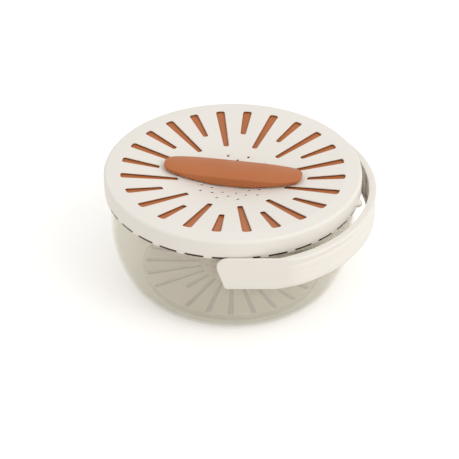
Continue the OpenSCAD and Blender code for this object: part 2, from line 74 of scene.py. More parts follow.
# The lid: rings of points in its dish and the shutter from the hub outwards, its slots, and what hangs below.
HUB_JOIN = 11.2                 # where the dish ends and the hub's own outline begins
DISH_RINGS = [HUB_JOIN, 13, 15, 16.5, 18, 19.5, 21, 22.5, 26, 28.5, 33.5, 35.5, 40, 45, 50, 56, 62, 68, 74,
              80, 86, 92, 97, 100.5, 102.6, 103.6, 104.9, 105.8]
VENT_SLOT = (5.0, 8.4, 1.6, 2.4)    # as for the drain slot
SPINDLE_RADIUS, COLLAR_RADIUS = 6.0, 9.48
RIB_RADII = (111.4, 113.2)      # of the ring rib under the lid
SHUTTER_EDGE = (109.0, 107.2)   # outer and inner radius of the shutter's turned-down edge
# Where round the skirt the first foot, the wide foot and the lift tab are, and how far the tab stands out.
FIRST_FOOT, WIDE_FOOT, TAB = math.radians(3.5), math.radians(-78.8), math.radians(-8.8)
TAB_RADIUS, TAB_OUT = 5.0, 3.6
# The carry handle: where along X the flat arm goes over into the grip, its lip and its fine lines.
STOP_TURN = math.radians(-55)   # of the stops round the pivots
GRIP_EASE, LIP_EASE = (40, 78), (36, 54)
LINES_START, LINES_END = (58, 68), (92, 104)
GROOVES = ((1.5, 25.6, 2.0), (0.45, 19.0, 5.0))     # depth, height above the band's lower edge, half width
LINE_DEPTH, LINE_HEIGHTS, LINE_WIDTH = 0.32, (17.8, 15.0, 12.2), 0.45


def tone(red, green, blue):
    """A colour as a picture shows it, 0 to 255, made linear for a shader."""
    def straight(v):
        v /= 255
        return v / 12.92 if v <= 0.04045 else ((v + 0.055) / 1.055) ** 2.4
    return (straight(red), straight(green), straight(blue))


def length(name, description, millimetres):
    """A length property, its default given in millimetres."""
    return FloatProperty(name=name, description=description, default=millimetres / 1000, unit="LENGTH",
                         subtype="DISTANCE", min=0.0, precision=4)


def angle(name, description, degrees):
    """An angle property, its default given in degrees."""
    return FloatProperty(name=name, description=description, default=math.radians(degrees), unit="ROTATION",
                         subtype="ANGLE")


def number(name, description, usual, least, most):
    """A whole number property."""
    return IntProperty(name=name, description=description, default=usual, min=least, max=most)


def colour(name, description, red, green, blue):
    """A colour property, its default given as a picture shows it."""
    return FloatVectorProperty(name=name, description=description, default=tone(red, green, blue),
                               subtype="COLOR", size=3, min=0.0, max=1.0)


class BowlSettings(bpy.types.PropertyGroup):
    """Sizes of the bowl and the colander in it."""
    radius: length("Bowl radius", "Outer radius of the upright wall", 115.2)
    wall: length("Wall", "Thickness of the bowl", 2.0)
    rim_height: length("Rim height", "Height of the bowl's rim", 104.0)
    curve_height: length("Curve height", "Height where the wall starts to curve in", 55.0)
    side_curve: length("Side curve", "Radius of the long curve of the wall", 90.0)
    corner_curve: length("Corner curve", "Radius between the wall and the base", 18.0)
    nest_gap: length("Nest gap", "Gap between the bowl and the colander", 0.8)
    basket_wall: length("Colander wall", "Thickness of the colander's wall", 1.8)
    floor_height: length("Floor height", "Height of the colander floor's underside", 4.5)
    floor_thickness: length("Floor thickness", "Thickness of the colander's floor", 2.0)
    drain_inner: length("Drain slot start", "Radius where the drain slots start", 31.0)
    drain_outer: length("Drain slot end", "Radius where the drain slots end", 84.0)
    drain_short: length("Short drain slot end", "Radius where the drain slots before a peg end", 60.0)
    neck: length("Neck", "Height of the plain neck above the bead", 8.9)
    bead_out: length("Bead depth", "How far the bead stands out from the wall", 4.2)
    bead_height: length("Bead height", "Height of the bead", 2.0)
    colander_turn: angle("Colander turn", "How far the colander is turned in the bowl", -1.4)


class LidSettings(bpy.types.PropertyGroup):
    """Sizes of the lid, its vents and the grip bar."""
    radius: length("Lid radius", "Outer radius of the lid's skirt", 119.9)
    height: length("Lid height", "Height of the lid's flat ring above the table", 114.0)
    skirt: length("Skirt", "Height of the skirt", 16.8)
    dish_radius: length("Dish radius", "Radius of the dished middle", 104.9)
    dish_depth: length("Dish depth", "Depth of the dished middle", 13.3)
    slot_pairs: number("Slot pairs", "Pairs of one short and one long vent slot", 12, 10, 12)
    foot_count: number("Skirt feet", "Small feet along the skirt's lower edge", 30, 24, 32)
    foot_width: length("Foot width", "Width of a small foot", 7.5)
    wide_foot: length("Wide foot width", "Width of the one wide foot", 22.0)
    long_start: length("Long slot start", "Radius where the long vent slots start", 51.4)
    short_start: length("Short slot start", "Radius where the short vent slots start", 69.4)
    bar_length: length("Bar length", "Length of the grip bar", 130.0)
    bar_width: length("Bar width", "Width of the grip bar at its middle", 32.0)
    bar_turn: angle("Bar turn", "How far the bar is turned against the lid", -2.7)
    turn: angle("Lid turn", "How far the lid is turned on the bowl", -8.2)


class HandleSettings(bpy.types.PropertyGroup):
    """Sizes of the carry handle and the pivots that it turns on."""
    band_top: length("Band top", "Height of the band's top edge above the table", 97.6)
    band_height: length("Band height", "Height of the handle's band", 32.2)
    inner_radius: length("Inner radius", "Inner radius of the curved grip", 126.97)
    grip_depth: length("Grip depth", "Depth of the grip from inside to outside", 7.2)
    arm_face: length("Arm face", "Distance of the arms' outer faces from the middle", 123.0)
    arm_wall: length("Arm wall", "Thickness of the flat arms", 2.4)
    arm_tail: length("Arm tail", "Length of the arm past the pivot at its top edge", 17.8)
    arm_slant: length("Arm slant", "Slant of the arm's end from top to bottom", 10.6)
    arm_round: length("Arm round", "Radius of the arm's upper end corner", 9.0)
    arm_corner: length("Arm corner", "Radius of the arm's lower end corner", 3.0)
    bend_radius: length("Bend radius", "Radius of the bend between arm and grip", 30.0)
    grip_round: length("Grip round", "Radius of the grip's rounded lower edge", 6.0)
    pivot_height: length("Pivot height", "Height of the pivot line", PIVOT[2] * 1000)
    pin_radius: length("Pin radius", "Radius of the bowl's pivot pins", 5.0)
    pad_radius: length("Pad radius", "Radius of the pads inside the arms", 9.7)
    rib_count: number("Ribs", "Ribs inside the hollow grip", 11, 5, 15)


class FinishSettings(bpy.types.PropertyGroup):
    """Colours of the plastics and the seal."""
    clear: colour("Clear plastic", "Tint of the see-through bowl", 247, 244, 234)
    basket: colour("Colander plastic", "Colour of the translucent colander", 248, 247, 236)
    cream: colour("Cream plastic", "Colour of the lid and the carry handle", 228, 223, 215)
    # Painted shade at the foot of the slot walls, brown because it also paints terracotta light bounced up
    # from the vent plate.
    slot_wall_shade: colour("Slot edge", "Colour of the shaded walls of the vent slots", 112, 66, 40)
    terracotta: colour("Terracotta plastic", "Colour of the vent plate and the grip bar", 179, 104, 56)
    # The seal is a real terracotta-brown ring, but its colour is darkened well below the terracotta to paint
    # the shade in the narrow gap under the skirt.
    seal: colour("Seal", "Colour of the soft ring under the skirt", 64, 32, 18)
    steel: colour("Steel", "Colour of the screw and its washer", 196, 196, 198)


def in_millimetres(settings):
    """The lengths of a group of settings, in millimetres."""
    names = [p.identifier for p in settings.bl_rna.properties if p.subtype == "DISTANCE"]
    return SimpleNamespace(**{name: getattr(settings, name) * 1000 for name in names})


def bowl_sizes():
    """Bowl and colander sizes, with what follows from them."""
    s = bpy.context.scene.bowl_settings
    k = in_millimetres(s)
    k.turn = s.colander_turn
    k.side_x = k.radius - k.side_curve
    k.corner_x = k.side_x + math.sqrt((k.side_curve - k.corner_curve) ** 2
                                      - (k.curve_height - k.corner_curve) ** 2)
    k.bead_top = k.rim_height - k.neck
    return k


def lid_sizes():
    """Lid sizes, with what follows from them."""
    s = bpy.context.scene.lid_settings
    k = in_millimetres(s)
    k.turn, k.bar_turn, k.feet, k.pairs = s.turn, s.bar_turn, s.foot_count, s.slot_pairs
    k.plate, k.pad_radius, k.shutter_gap, k.shutter = 2.0, 18.0, 0.3, 1.8
    k.skirt_bottom = k.height - k.skirt
    k.skirt_inner = k.radius - 2.2
    k.pad = k.height - k.dish_depth
    k.slope = k.dish_depth / (k.dish_radius - k.pad_radius)
    k.shutter_top = k.pad - k.plate - k.shutter_gap
    k.join = k.dish_radius + 1.7
    k.bar_top = k.height + 0.4
    k.bead_top = bowl_sizes().bead_top
    return k


def handle_sizes():
    """Carry handle sizes, with what follows from them."""
    s = bpy.context.scene.handle_settings
    k = in_millimetres(s)
    k.ribs = s.rib_count
    k.low = k.band_top - k.band_height
    k.outer_radius = k.inner_radius + k.grip_depth - 0.04
    k.inner_face = k.arm_face - k.arm_wall
    k.pad_face = bpy.context.scene.bowl_settings.radius * 1000 + 1.0
    return k


def ramp(x, width):
    """max(0, x) with its corner rounded over twice the width."""
    if x <= -width:
        return 0.0
    return x if x >= width else (x + width) ** 2 / (4 * width)


def dish_height(k, r):
    """Height of the lid's upper face at a radius: pad, slope and flat outer ring, softly joined."""
    return k.pad + k.slope * (ramp(r - k.pad_radius, 3.0) - ramp(r - k.dish_radius, 0.9))


class Shell:
    """Points and the faces between them, gathered into one mesh. What adds to it gives it back."""

    def __init__(self):
        self.points, self.faces, self.shade_marks = [], [], []

    def add(self, points, faces, shade_marks=None):
        """Adds points and faces between them. marks are 1 at the foot of a slot's walls, where the cream
        plastic paints shade, and 0 elsewhere.
        """
        first = len(self.points)
        self.points += points
        self.faces += [tuple(first + i for i in f) for f in faces]
        self.shade_marks += shade_marks or [0.0] * len(points)
        return self

    def grid(self, rows, shade_marks=None):
        """Joins closed rows of equally many points, one to the next."""
        n = len(rows[0])
        return self.add([p for row in rows for p in row],
                        [(i * n + j, i * n + (j + 1) % n, (i + 1) * n + (j + 1) % n, (i + 1) * n + j)
                         for i in range(len(rows) - 1) for j in range(n)], shade_marks)

    def loft(self, rows):
        """Joins closed rows of points and closes both ends."""
        n, first = len(rows[0]), len(self.points)
        self.grid(rows)
        last = first + (len(rows) - 1) * n
        self.faces += [tuple(range(first + n - 1, first - 1, -1)), tuple(range(last, last + n))]
        return self

    def revolve(self, profile, segments=AROUND, closed=True, start=0.0):
        """Turns (radius, height) points about Z."""
        n = len(profile)
        points = [(r * math.cos(a), r * math.sin(a), z)
                  for a in (start + 2 * math.pi * i / segments for i in range(segments)) for r, z in profile]
        faces = []
        for i in range(segments):
            here, there = i * n, (i + 1) % segments * n
            for j in range(n if closed else n - 1):
                m = (j + 1) % n
                faces.append((here + j, there + j, there + m, here + m))
        return self.add(points, faces)

    def block(self, low, high, place=None):
        """A box from one corner to the other, moved by a function of its points."""
        points = [(x, y, z) for z in (low[2], high[2]) for y in (low[1], high[1]) for x in (low[0], high[0])]
        if place:
            points = [place(p) for p in points]
        faces = [(0, 1, 3, 2), (4, 6, 7, 5), (0, 4, 5, 1), (2, 3, 7, 6), (0, 2, 6, 4), (1, 5, 7, 3)]
        return self.add(points, faces)

    def mesh(self, name, merge=WELD):
        """The mesh in metres, with doubles merged and faces pointing out."""
        mesh = bpy.data.meshes.new(name)
        mesh.from_pydata([(x / 1000, y / 1000, z / 1000) for x, y, z in self.points], [], self.faces)
        # The marks become an attribute that tells the cream plastic where to paint shade at the foot of the
        # slot walls.
        mesh.attributes.new("painted slot shade", "FLOAT", "POINT").data.foreach_set("value", self.shade_marks)
        tidy_mesh(mesh, merge)
        return mesh


def tidy_mesh(mesh, merge):
    """Merges doubles, drops empty faces and points all faces outwards."""
    bm = bmesh.new()
    bm.from_mesh(mesh)
    bmesh.ops.remove_doubles(bm, verts=bm.verts, dist=merge / 1000)
    bmesh.ops.dissolve_degenerate(bm, edges=bm.edges, dist=1e-7)
    bmesh.ops.recalc_face_normals(bm, faces=bm.faces)
    bm.to_mesh(mesh)
    bm.free()


def join_loose(name, meshes):
    """One mesh out of closed ones that may cross each other, left unmerged."""
    bm = bmesh.new()
    for mesh in meshes:
        bm.from_mesh(mesh)
    out = bpy.data.meshes.new(name)
    bm.to_mesh(out)
    bm.free()
    return out


def join_meshes(name, meshes):
    """One mesh out of several that meet along their open edges, merged there."""
    out = join_loose(name, meshes)
    tidy_mesh(out, WIDE_WELD)
    return out


def turn_mesh(mesh, turn):
    """Turns a mesh's points about Z."""
    c, s = math.cos(turn), math.sin(turn)
    for v in mesh.vertices:
        x, y = v.co.x, v.co.y
        v.co.x, v.co.y = x * c - y * s, x * s + y * c


def add_object(name, mesh, material, turn=0.0, sharp=35.0, keep_flat=False):
    """Links a new object for a mesh, at the origin.

    The mesh is turned about Z and shaded smooth up to sharp degrees. With keep_flat large faces lead the
    shading of their corners.
    """
    turn_mesh(mesh, turn)
    mesh.shade_smooth()
    mesh.set_sharp_from_angle(angle=math.radians(sharp))
    piece = bpy.data.objects.new(name, mesh)
    bpy.context.scene.collection.objects.link(piece)
    mesh.materials.clear()
    mesh.materials.append(material)
    if keep_flat:
        weigh = piece.modifiers.new("Large faces lead", "WEIGHTED_NORMAL")
        weigh.keep_sharp = True
    return piece


def rounded(corners, steps):
    """Closed outline of (x, y, corner radius) with each corner rounded in so many steps."""
    out, n = [], len(corners)
    for i, (x, y, r) in enumerate(corners):
        here = Vector((x, y))
        if r <= 0:
            out.append((x, y))
            continue
        before, after = Vector(corners[i - 1][:2]) - here, Vector(corners[(i + 1) % n][:2]) - here
        before.normalize()
        after.normalize()
        half = before.angle(after) / 2
        reach = r / math.tan(half)
        middle = here + (before + after).normalized() * (r / math.sin(half))
        a, b = here + before * reach - middle, here + after * reach - middle
        turn = math.atan2(a.x * b.y - a.y * b.x, a.dot(b))
        for j in range(steps + 1):
            t = turn * j / steps
            out.append((middle.x + a.x * math.cos(t) - a.y * math.sin(t),
                        middle.y + a.x * math.sin(t) + a.y * math.cos(t)))
    return out


def box_section(inner, outer, low, high, radii, steps):
    """Outline of a box between two radii and two heights, its corners rounded from the inner low one on."""
    places = ((inner, low), (outer, low), (outer, high), (inner, high))
    return rounded([(*place, radius) for place, radius in zip(places, radii)], steps)


def arc(cx, cy, r, start, end, steps):
    """Points on an arc, angles in degrees."""
    return [(cx + r * math.cos(math.radians(start + (end - start) * i / steps)),
             cy + r * math.sin(math.radians(start + (end - start) * i / steps))) for i in range(steps + 1)]


def bowl_curve(k, inset, bottom):
    """The bowl's outline drawn in by a distance, from a height near its base up to the upright wall."""
    r = k.corner_curve - inset
    start = -math.degrees(math.asin(min(1.0, (k.corner_curve - bottom) / r)))
    join = math.degrees(math.atan2(k.corner_curve - k.curve_height, k.corner_x - k.side_x))
    return (arc(k.corner_x, k.corner_curve, r, start, join, 14)
            + arc(k.side_x, k.curve_height, k.side_curve - inset, join, 0, 22)[1:])


def slot_outline(r_in, r_out, form, grow, turn):
    """A slot that widens outwards, grown evenly. form is its widths and corner radii, inner before outer."""
    w_in, w_out, inner, outer = form
    r_in, r_out, inner, outer = r_in - grow, r_out + grow, inner + grow, outer + grow
    h_in, h_out = w_in / 2 + grow, w_out / 2 + grow
    x0, x1 = r_in + inner, r_out - outer
    side = [(x0 + (x1 - x0) * i / 9, h_in + (h_out - h_in) * i / 9) for i in range(1, 9)]
    half = arc(x0, h_in - inner, inner, 180, 90, 5) + side + arc(x1, h_out - outer, outer, 90, 0, 5)
    points = half + [(r_out, 0.0)] + [(x, -y) for x, y in reversed(half)] + [(r_in, 0.0)]
    c, s = math.cos(turn), math.sin(turn)
    return [(x * c - y * s, x * s + y * c) for x, y in points]


def hole_outline(r, grow, turn):
    """A round hole at a radius and angle."""
    x, y = r * math.cos(turn), r * math.sin(turn)
    return [(x + px, y + py) for px, py in arc(0, 0, SMALL_HOLE / 2 + grow, 0, 360, 20)[:-1]]


def inside(point, loop):
    """Even-odd test of a point in a closed outline."""
    x, y = point
    hit = False
    for (x0, y0), (x1, y1) in zip(loop, loop[1:] + loop[:1]):
        if (y0 > y) != (y1 > y) and x < x0 + (y - y0) * (x1 - x0) / (y1 - y0):
            hit = not hit
    return hit


def pierced_sector(start, end, radii, holes, top, bottom, edge):
    """A sector of a plate with holes through it, whose edges are rounded over.

    start and end are angles in degrees, radii the rings of points from the inside out, holes functions that
    give an outline grown by a distance, top and bottom functions that give the heights of the two faces at a
    radius, edge the radius of the rounding.
    """
    count = round((end - start) / SECTOR_STEP)
    angles = [math.radians(start + (end - start) * i / count) for i in range(count + 1)]
    at = lambda r, a: (r * math.cos(a), r * math.sin(a))
    border = [at(radii[0], a) for a in angles] + [at(r, angles[-1]) for r in radii[1:-1]]
    border += [at(radii[-1], a) for a in reversed(angles)] + [at(r, angles[0]) for r in reversed(radii[1:-1])]
    points = list(border)
    edges = [(i, (i + 1) % len(border)) for i in range(len(border))]
    mouths = [hole(edge) for hole in holes]
    for mouth in mouths:
        first = len(points)
        points += mouth
        edges += [(first + i, first + (i + 1) % len(mouth)) for i in range(len(mouth))]
    clear = [hole(edge + 0.5) for hole in holes]
    spans = [[(min(c), max(c)) for c in zip(*loop)] for loop in clear]

    def in_a_hole(point, loops):
        """Whether a point lies in one of the holes' outlines; the spans rule most of them out."""
        return any(all(low <= v <= high for v, (low, high) in zip(point, span)) and inside(point, loop)
                   for loop, span in zip(loops, spans))

    points += [p for p in (at(r, a) for r in radii[1:-1] for a in angles[1:-1]) if not in_a_hole(p, clear)]
    found, _, faces, _, _, _ = delaunay_2d_cdt([Vector(p) for p in points], edges, [], 1, 1e-6)
    flat = [tuple(v) for v in found]
    middle = lambda face: tuple(sum(flat[i][axis] for i in face) / len(face) for axis in (0, 1))
    keep = [tuple(face) for face in faces if not in_a_hole(middle(face), mouths)]
    shell = Shell()
    lift = lambda p, height, drop: (p[0], p[1], height(math.hypot(*p)) + drop)
    shell.add([lift(p, top, 0) for p in flat], keep)
    shell.add([lift(p, bottom, 0) for p in flat], [tuple(reversed(f)) for f in keep])
    for hole in holes:
        rows, shade_marks = [], []
        for side, turns, sign in ((top, (0, 30, 60, 90), -1), (bottom, (90, 60, 30, 0), 1)):
            for t in turns:
                grow, sink = edge * (1 - math.sin(math.radians(t))), edge * (1 - math.cos(math.radians(t)))
                rows.append([lift(p, side, sign * sink) for p in hole(grow)])
                # Marks for painted shade: 0 on the upper rounding and 1 on the lower one, so the painted
                # shade grows down the hole's wall.
                shade_marks += [1.0 if side is bottom and t > 0 else 0.0] * len(rows[-1])
        shell.grid(rows, shade_marks)
    return shell


def node(tree, kind, inputs=None, output=0, **settings):
    """Adds a node and gives one of its outputs. An input is joined where a socket is given, else set."""
    made = tree.nodes.new(kind)
    for name, value in settings.items():
        setattr(made, name, value)
    for name, value in (inputs or {}).items():
        if isinstance(value, bpy.types.NodeSocket):
            tree.links.new(value, made.inputs[name])
        else:
            made.inputs[name].default_value = value
    return made.outputs[output] if made.outputs else None


def repeat_tree():
    """Geometry Nodes: copies a piece round Z, makes the copies real, welds them and gives the finish."""
    title = "Repeat round axis"
    tree = bpy.data.node_groups.get(title)
    if tree:
        return tree
    tree = bpy.data.node_groups.new(title, "GeometryNodeTree")
    for name, kind in (("Geometry", "Geometry"), ("Count", "Int"), ("Start Angle", "Float"),
                       ("Step Angle", "Float"), ("Weld Distance", "Float"), ("Material", "Material")):
        tree.interface.new_socket(name, in_out="INPUT", socket_type=f"NodeSocket{kind}")
    tree.interface.new_socket("Geometry", in_out="OUTPUT", socket_type="NodeSocketGeometry")
    given = tree.nodes.new("NodeGroupInput").outputs
    turn = node(tree, "ShaderNodeMath", {0: node(tree, "GeometryNodeInputIndex"), 1: given["Step Angle"]},
                operation="MULTIPLY")
    turn = node(tree, "ShaderNodeMath", {0: turn, 1: given["Start Angle"]}, operation="ADD")
    form = node(tree, "GeometryNodeInstanceOnPoints", {
        "Points": node(tree, "GeometryNodePoints", {"Count": given["Count"]}),
        "Instance": given["Geometry"],
        "Rotation": node(tree, "ShaderNodeCombineXYZ", {"Z": turn})})
    form = node(tree, "GeometryNodeRealizeInstances", {0: form})
    form = node(tree, "GeometryNodeMergeByDistance", {"Geometry": form, "Distance": given["Weld Distance"]})
    form = node(tree, "GeometryNodeSetMaterial", {"Geometry": form, "Material": given["Material"]})
    node(tree, "NodeGroupOutput", {0: form})
    return tree


def repeated(mesh, count, start, step, material):
    """A plain mesh of a piece repeated round the axis by the node tree. The angles are in radians."""
    tree = repeat_tree()
    holder = bpy.data.objects.new("repeat holder", mesh)
    bpy.context.scene.collection.objects.link(holder)
    nodes = holder.modifiers.new("Repeat", "NODES")
    nodes.node_group = tree
    ids = {i.name: i.identifier for i in tree.interface.items_tree if i.in_out == "INPUT"}
    for name, value in (("Count", count), ("Start Angle", start), ("Step Angle", step),
                        ("Weld Distance", WELD / 1000), ("Material", material)):
        nodes[ids[name]] = value
    bpy.context.view_layer.update()
    ready = holder.evaluated_get(bpy.context.evaluated_depsgraph_get())
    out = bpy.data.meshes.new_from_object(ready)
    holder.modifiers.remove(nodes)
    bpy.data.objects.remove(holder)
    return out


def new_material(name, surface):
    """A node material. surface is a function that makes the shader in its tree."""
    material = bpy.data.materials.new(name)
    material.use_nodes = True
    tree = material.node_tree
    tree.nodes.clear()
    node(tree, "ShaderNodeOutputMaterial", {"Surface": surface(tree)})
    return material


def object_noise(tree, scale, detail):
    """Noise on Object coordinates, about 0.3 to 0.7."""
    where = node(tree, "ShaderNodeTexCoord", output="Object")
    return node(tree, "ShaderNodeTexNoise", {"Vector": where, "Scale": scale, "Detail": detail}, "Fac")


def mapped(tree, value, given, wanted):
    """A value mapped from one range to another. An end of a range is a number or another node's output."""
    return node(tree, "ShaderNodeMapRange", {
        "Value": value, "From Min": given[0], "From Max": given[1], "To Min": wanted[0], "To Max": wanted[1]})


def soft_noise(tree, scale, detail, low, high):
    """Noise on Object coordinates, mapped to a range."""
    return mapped(tree, object_noise(tree, scale, detail), (0.3, 0.7), (low, high))


def mixed(tree, factor, first, second):
    """A colour between two by a factor. Each is three numbers or another node's output."""
    first, second = (c if isinstance(c, bpy.types.NodeSocket) else (*c, 1) for c in (first, second))
    return node(tree, "ShaderNodeMix", {"Factor": factor, "A": first, "B": second}, "Result",
                data_type="RGBA")


def drifting(tree, scale, detail, first, second):
    """A colour that drifts softly between two."""
    return mixed(tree, soft_noise(tree, scale, detail, 0, 1), first, second)


def grained(tree, scale, strength, depth):
    """A fine moulded grain, as the normal of a surface."""
    return node(tree, "ShaderNodeBump", {
        "Height": object_noise(tree, scale, 3), "Strength": strength, "Distance": depth})


def moulded_plastic(tree, rgb, rough, drift, grain=900.0, strength=0.05, edge=None):
    """Opaque moulded plastic: its colour and gloss drift a little and it has a fine grain.

    edge is the colour of painted shade at the foot of the walls of slots cut through it. It is dark brown
    because it also paints terracotta light bounced up from the vent plate.
    """
    skin = drifting(tree, 14, 3, [v * (1 - drift) for v in rgb], [min(1.0, v * (1 + drift)) for v in rgb])
    if edge:
        # The mark grows down the wall from 0 to 1, so the painted shade begins a quarter of the way down.
        shade_mark = node(tree, "ShaderNodeAttribute", output="Fac", attribute_name="painted slot shade")
        skin = mixed(tree, mapped(tree, shade_mark, (0.25, 0.7), (0, 1)), skin, edge)
    return node(tree, "ShaderNodeBsdfPrincipled", {
        "Base Color": skin, "Roughness": soft_noise(tree, 45, 4, rough - 0.05, rough + 0.06),
        "Specular IOR Level": 0.4, "Normal": grained(tree, grain, strength, 0.0004)})


def off_base(tree, reach, near, far=1.0):
    """A value on the flat base, out to reach in metres from the origin, that changes to another beyond."""
    where = node(tree, "ShaderNodeTexCoord", output="Object")
    away = node(tree, "ShaderNodeVectorMath", {0: where}, "Value", operation="LENGTH")
    return mapped(tree, away, (reach - 0.001, reach + 0.001), (near, far))


def milky_plastic(tree, rgb, cover, rough, glow_through, base_reach, base_cover, base_light):
    """See-through, slightly milky plastic.

    cover is how much of each face hides what lies behind it, glow_through how much of that lets light on.
    The flat base, out to base_reach in metres, has a cover of its own and lets base_light of the light pass.
    """
    skin = drifting(tree, 9, 2, [v * 0.97 for v in rgb], rgb)
    shell = node(tree, "ShaderNodeBsdfPrincipled", {
        "Base Color": skin, "Roughness": soft_noise(tree, 30, 3, rough, rough + 0.06),
        "Normal": grained(tree, 260, 0.03, 0.0003)})
    soft = node(tree, "ShaderNodeBsdfTranslucent", {"Color": skin})
    milk = node(tree, "ShaderNodeMixShader", {0: glow_through, 1: shell, 2: soft})
    clear = [0.85 + 0.15 * v for v in rgb]
    tint = mixed(tree, off_base(tree, base_reach, 0.0), [base_light * v for v in clear], clear)
    through = node(tree, "ShaderNodeBsdfTransparent", {"Color": tint})
    hides = off_base(tree, base_reach, base_cover, soft_noise(tree, 5, 2, cover - 0.02, cover + 0.02))
    return node(tree, "ShaderNodeMixShader", {0: hides, 1: through, 2: milk})


def brushed_steel(tree, rgb):
    """Satin metal with a fine uneven gloss."""
    return node(tree, "ShaderNodeBsdfPrincipled", {
        "Metallic": 1.0, "Base Color": drifting(tree, 60, 3, [v * 0.85 for v in rgb], rgb),
        "Roughness": soft_noise(tree, 300, 2, 0.25, 0.4)})


def finish(name):
    """The material of one of the object's finishes, made once."""
    c = bpy.context.scene.finish_settings
    surfaces = {
        "clear tinted plastic": lambda tree: milky_plastic(
            tree, c.clear, cover=0.17, rough=0.16, glow_through=0.1,
            base_reach=0.0845, base_cover=0.5, base_light=0.8),
        "colander plastic": lambda tree: milky_plastic(
            tree, c.basket, cover=0.12, rough=0.34, glow_through=0.02,
            base_reach=0.0865, base_cover=0.95, base_light=1.0),
        # The cream plastic paints dark brown shade at the foot of its slot walls.
        "cream plastic": lambda tree: moulded_plastic(
            tree, c.cream, rough=0.42, drift=0.012, edge=c.slot_wall_shade),
        "terracotta plastic": lambda tree: moulded_plastic(
            tree, c.terracotta, rough=0.45, drift=0.05, grain=700.0, strength=0.09),
        # The seal's dark colour is partly its own and partly painted shade for the gap under the skirt.
        "seal rubber with painted shade": lambda tree: moulded_plastic(
            tree, c.seal, rough=0.85, drift=0.06, grain=1200.0, strength=0.12),
        "brushed steel": lambda tree: brushed_steel(tree, c.steel),
    }
    return bpy.data.materials.get(name) or new_material(name, surfaces[name])


class OBJECT_OT_container_bowl(bpy.types.Operator):
    """Make the see-through bowl with its bead, pivot pins and handle stops"""
    bl_idname = "object.container_bowl"
    bl_label = "Bowl"

    def execute(self, context):
        k = bowl_sizes()
        inner = k.radius - k.wall
        outside = [(0.0, 0.0)] + bowl_curve(k, 0, 0)
        low = k.bead_top - k.bead_height
        out = k.radius + k.bead_out
        bead = rounded([(k.radius, low - 1.2, 0), (k.radius + 0.9, low, 0.8), (out, low, 0.6),
                        (out, k.bead_top, 0.4), (k.radius, k.bead_top, 0.3)], 3)
        soft = 0.7
        rim = (arc(k.radius - soft, k.rim_height - soft, soft, 0, 90, 4)
               + arc(inner + soft, k.rim_height - soft, soft, 90, 180, 4))
        profile = outside + bead + rim + bowl_curve(k, k.wall, k.wall)[::-1] + [(0.0, k.wall)]
        mesh = join_loose("bowl", [Shell().revolve(profile, closed=False).mesh("bowl")] + pivot_meshes())
        bowl = add_object("bowl_clear", mesh, finish("clear tinted plastic"))
        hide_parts("container")
        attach(bowl, "container_body")
        return {"FINISHED"}


def at_pivot(k, side, turn, point):
    """A point given from the pivot, its third number along the pivot line, moved to its place."""
    c, s = math.cos(turn), math.sin(turn)
    a, b, out = point
    return (a * c - b * s, side * out, k.pivot_height + a * s + b * c)


def turned_part(k, side, profile, ring=False):
    """A part turned about the pivot line from (radius, distance from the middle) points."""
    shell = Shell().revolve(profile, 64, ring)
    shell.points = [at_pivot(k, side, 0.0, p) for p in shell.points]
    return shell


def pivot_meshes():
    """The bowl's two pivot pins with their flanges, and the stops that hold the handle level."""
    k = handle_sizes()
    start, tip = k.pad_face - 2.6, k.pad_face + 4.2
    flange, pin, face = k.pin_radius + 3, k.pin_radius, k.pad_face - 0.3
    reach = k.inner_face - 0.6
    out = []
    for side in (-1, 1):
        out.append(turned_part(k, side, [
            (0, start), (flange, start), (flange, face - 0.4), (flange - 0.4, face), (pin + 0.3, face),
            (pin, k.pad_face), (pin, tip - 0.6), (pin - 0.6, tip), (0, tip)]).mesh("pin"))
        for turn, near in ((STOP_TURN, -5.3), (STOP_TURN + math.pi, 2.3)):
            stop = Shell().block((k.pad_radius + 0.4, near, start), (k.pad_radius + 3.4, near + 3, reach),
                                 lambda p: at_pivot(k, side, turn, p))
            out.append(stop.mesh("stop"))
    return out


